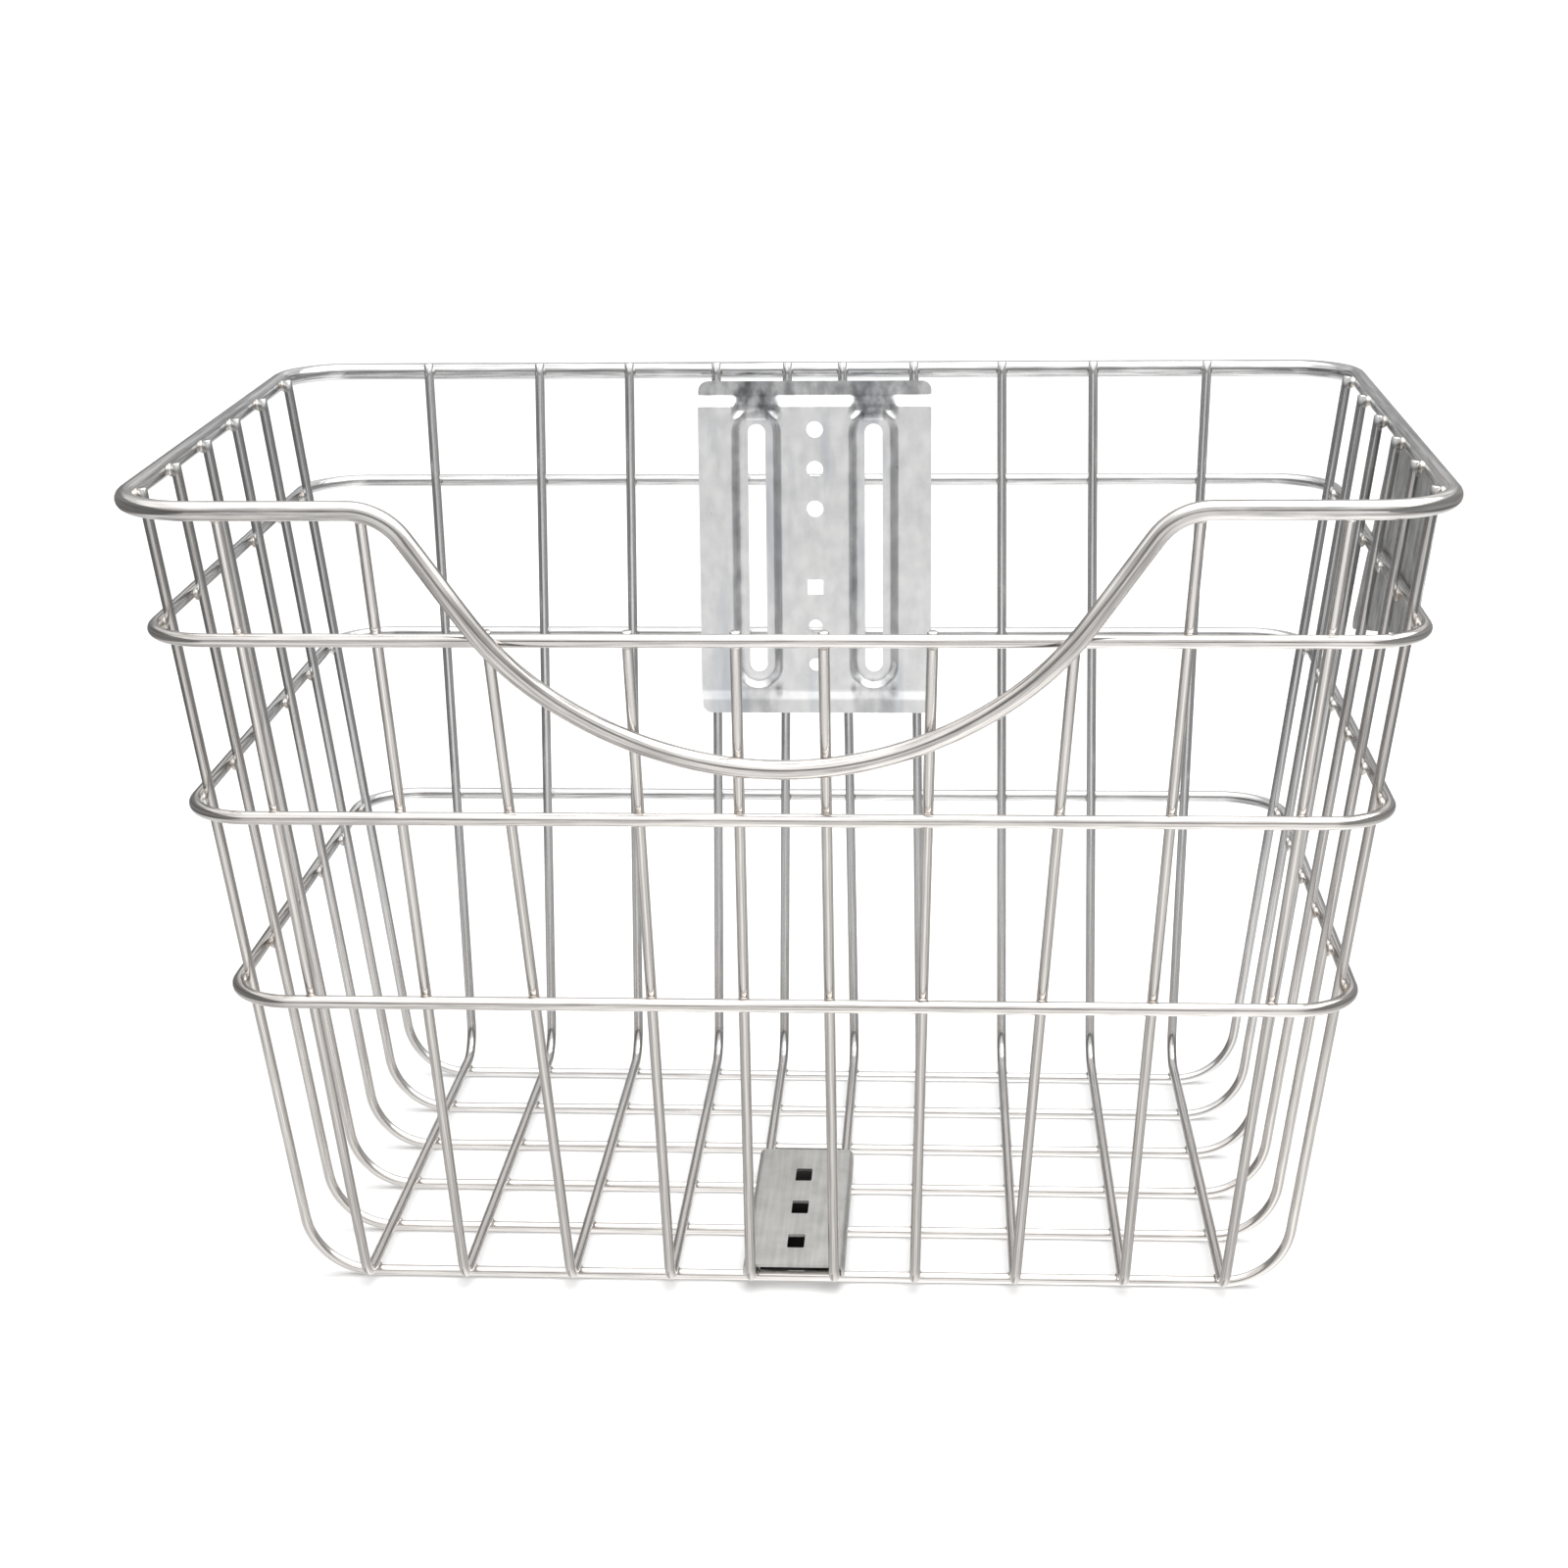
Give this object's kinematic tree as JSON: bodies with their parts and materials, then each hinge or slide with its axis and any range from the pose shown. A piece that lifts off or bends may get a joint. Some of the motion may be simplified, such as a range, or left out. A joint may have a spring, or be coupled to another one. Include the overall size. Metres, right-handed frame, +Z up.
{
  "type": "handlebar bicycle basket",
  "caption": "Tapered welded wire basket for a bicycle's handlebar, with a dipped front rim, a slotted mounting plate inside the back wall and a small stay plate on the floor.",
  "frame": {"origin": "centre of the basket's box, on the surface that it stands on", "axes": "+X along the basket's width, to the right of someone facing the dip; +Y towards the bicycle, so the mounting plate is on the +Y wall and the dip in the rim on the -Y wall; +Z up"},
  "size_m": [0.3992, 0.2482, 0.2686],
  "materials": {
    "bright_wire": "bright drawn stainless wire",
    "ring_wire": "drawn stainless wire",
    "grid_wire": "drawn stainless wire, a little duller",
    "zinc_sheet": "pressed sheet with a faint blue-grey mottle",
    "plain_sheet": "plain steel sheet"
  },
  "bodies": {
    "root": {"rim_wire": "bright_wire", "upper_ring": "ring_wire", "middle_ring": "ring_wire", "lower_ring": "ring_wire", "lengthwise_wire_01": "grid_wire", "lengthwise_wire_02": "grid_wire", "lengthwise_wire_03": "grid_wire", "lengthwise_wire_04": "grid_wire", "lengthwise_wire_05": "grid_wire", "lengthwise_wire_06": "grid_wire", "lengthwise_wire_07": "grid_wire", "lengthwise_wire_08": "grid_wire", "lengthwise_wire_09": "grid_wire", "lengthwise_wire_10": "grid_wire", "crosswise_wire_1": "grid_wire", "crosswise_wire_2": "grid_wire", "crosswise_wire_3": "grid_wire", "crosswise_wire_4": "grid_wire", "crosswise_wire_5": "grid_wire", "crosswise_wire_6": "grid_wire", "mounting_plate": "zinc_sheet", "floor_plate": "plain_sheet", "side_plate": "plain_sheet"}
  },
  "joints": []
}
